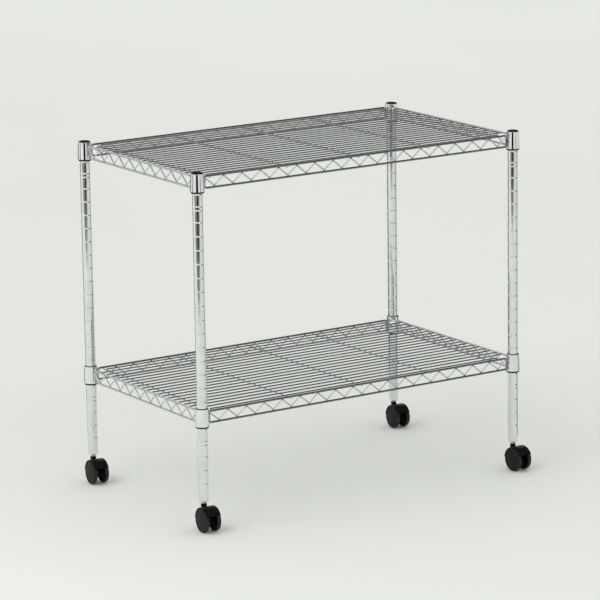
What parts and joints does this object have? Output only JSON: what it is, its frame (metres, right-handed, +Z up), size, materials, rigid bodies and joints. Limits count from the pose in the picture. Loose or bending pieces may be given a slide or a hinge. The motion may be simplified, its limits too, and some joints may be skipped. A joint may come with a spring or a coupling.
{
  "type": "wire shelving rack",
  "caption": "Low chrome wire shelving cart: round grooved posts carry open wire shelves on wedged corner collars, and it rolls on black twin-wheel swivel casters.",
  "frame": {"origin": "on the floor, under the middle of the whole cart's plan, casters included", "axes": "+X along the long side, +Y to the back, away from the trailing wheels, +Z up the posts"},
  "size_m": [0.7358, 0.4524, 0.6605],
  "materials": {
    "chrome_tube": "bright chrome plate on drawn steel tube",
    "chrome_collar": "bright chrome plate on formed steel",
    "chrome_wire": "chrome plate on welded steel wire",
    "black_plastic": "moulded, satin",
    "caster_plastic": "moulded nylon, satin",
    "wheel_plastic": "moulded nylon, satin face and worn tread",
    "zinc_steel": "zinc plated",
    "axle_steel": "drawn steel"
  },
  "bodies": {
    "rack": {"post_front_left": "chrome_tube", "post_back_left": "chrome_tube", "post_front_right": "chrome_tube", "post_back_right": "chrome_tube", "post_caps": "black_plastic", "stem_inserts": "zinc_steel", "lower_sleeve_front_left": "black_plastic", "lower_collar_front_left": "chrome_collar", "lower_sleeve_back_left": "black_plastic", "lower_collar_back_left": "chrome_collar", "lower_sleeve_front_right": "black_plastic", "lower_collar_front_right": "chrome_collar", "lower_sleeve_back_right": "black_plastic", "lower_collar_back_right": "chrome_collar", "lower_truss_front": "chrome_wire", "lower_truss_back": "chrome_wire", "lower_truss_left": "chrome_wire", "lower_truss_right": "chrome_wire", "lower_cross_wires": "chrome_wire", "lower_deck_wires": "chrome_wire", "upper_sleeve_front_left": "black_plastic", "upper_collar_front_left": "chrome_collar", "upper_sleeve_back_left": "black_plastic", "upper_collar_back_left": "chrome_collar", "upper_sleeve_front_right": "black_plastic", "upper_collar_front_right": "chrome_collar", "upper_sleeve_back_right": "black_plastic", "upper_collar_back_right": "chrome_collar", "upper_truss_front": "chrome_wire", "upper_truss_back": "chrome_wire", "upper_truss_left": "chrome_wire", "upper_truss_right": "chrome_wire", "upper_cross_wires": "chrome_wire", "upper_deck_wires": "chrome_wire", "caster_stem_front_left": "zinc_steel", "caster_stem_back_left": "zinc_steel", "caster_stem_front_right": "zinc_steel", "caster_stem_back_right": "zinc_steel"},
    "caster_front_left": {"caster_hood_front_left": "caster_plastic", "caster_axle_front_left": "axle_steel"},
    "wheel_a_front_left": {"caster_wheel_a_front_left": "wheel_plastic"},
    "wheel_b_front_left": {"caster_wheel_b_front_left": "wheel_plastic"},
    "caster_back_left": {"caster_hood_back_left": "caster_plastic", "caster_axle_back_left": "axle_steel"},
    "wheel_a_back_left": {"caster_wheel_a_back_left": "wheel_plastic"},
    "wheel_b_back_left": {"caster_wheel_b_back_left": "wheel_plastic"},
    "caster_front_right": {"caster_hood_front_right": "caster_plastic", "caster_axle_front_right": "axle_steel"},
    "wheel_a_front_right": {"caster_wheel_a_front_right": "wheel_plastic"},
    "wheel_b_front_right": {"caster_wheel_b_front_right": "wheel_plastic"},
    "caster_back_right": {"caster_hood_back_right": "caster_plastic", "caster_axle_back_right": "axle_steel"},
    "wheel_a_back_right": {"caster_wheel_a_back_right": "wheel_plastic"},
    "wheel_b_back_right": {"caster_wheel_b_back_right": "wheel_plastic"}
  },
  "joints": [
    {"name": "swivel_front_left", "type": "hinge", "parent": "rack", "child": "caster_front_left", "pos_m": [-0.35, -0.18775, 0.049], "axis": [0, 0, 1], "continuous": true},
    {"name": "roll_a_front_left", "type": "hinge", "parent": "caster_front_left", "child": "wheel_a_front_left", "pos_m": [-0.35098, -0.20372, 0.022], "axis": [0.9981, -0.061, 0], "continuous": true},
    {"name": "roll_b_front_left", "type": "hinge", "parent": "caster_front_left", "child": "wheel_b_front_left", "pos_m": [-0.35098, -0.20372, 0.022], "axis": [0.9981, -0.061, 0], "continuous": true},
    {"name": "swivel_back_left", "type": "hinge", "parent": "rack", "child": "caster_back_left", "pos_m": [-0.35, 0.21225, 0.049], "axis": [0, 0, 1], "continuous": true},
    {"name": "roll_a_back_left", "type": "hinge", "parent": "caster_back_left", "child": "wheel_a_back_left", "pos_m": [-0.35139, 0.19631, 0.022], "axis": [0.9962, -0.0872, 0], "continuous": true},
    {"name": "roll_b_back_left", "type": "hinge", "parent": "caster_back_left", "child": "wheel_b_back_left", "pos_m": [-0.35139, 0.19631, 0.022], "axis": [0.9962, -0.0872, 0], "continuous": true},
    {"name": "swivel_front_right", "type": "hinge", "parent": "rack", "child": "caster_front_right", "pos_m": [0.35, -0.18775, 0.049], "axis": [0, 0, 1], "continuous": true},
    {"name": "roll_a_front_right", "type": "hinge", "parent": "caster_front_right", "child": "wheel_a_front_right", "pos_m": [0.35084, -0.20373, 0.022], "axis": [0.9986, 0.0523, 0], "continuous": true},
    {"name": "roll_b_front_right", "type": "hinge", "parent": "caster_front_right", "child": "wheel_b_front_right", "pos_m": [0.35084, -0.20373, 0.022], "axis": [0.9986, 0.0523, 0], "continuous": true},
    {"name": "swivel_back_right", "type": "hinge", "parent": "rack", "child": "caster_back_right", "pos_m": [0.35, 0.21225, 0.049], "axis": [0, 0, 1], "continuous": true},
    {"name": "roll_a_back_right", "type": "hinge", "parent": "caster_back_right", "child": "wheel_a_back_right", "pos_m": [0.34916, 0.19627, 0.022], "axis": [0.9986, -0.0523, 0], "continuous": true},
    {"name": "roll_b_back_right", "type": "hinge", "parent": "caster_back_right", "child": "wheel_b_back_right", "pos_m": [0.34916, 0.19627, 0.022], "axis": [0.9986, -0.0523, 0], "continuous": true}
  ]
}
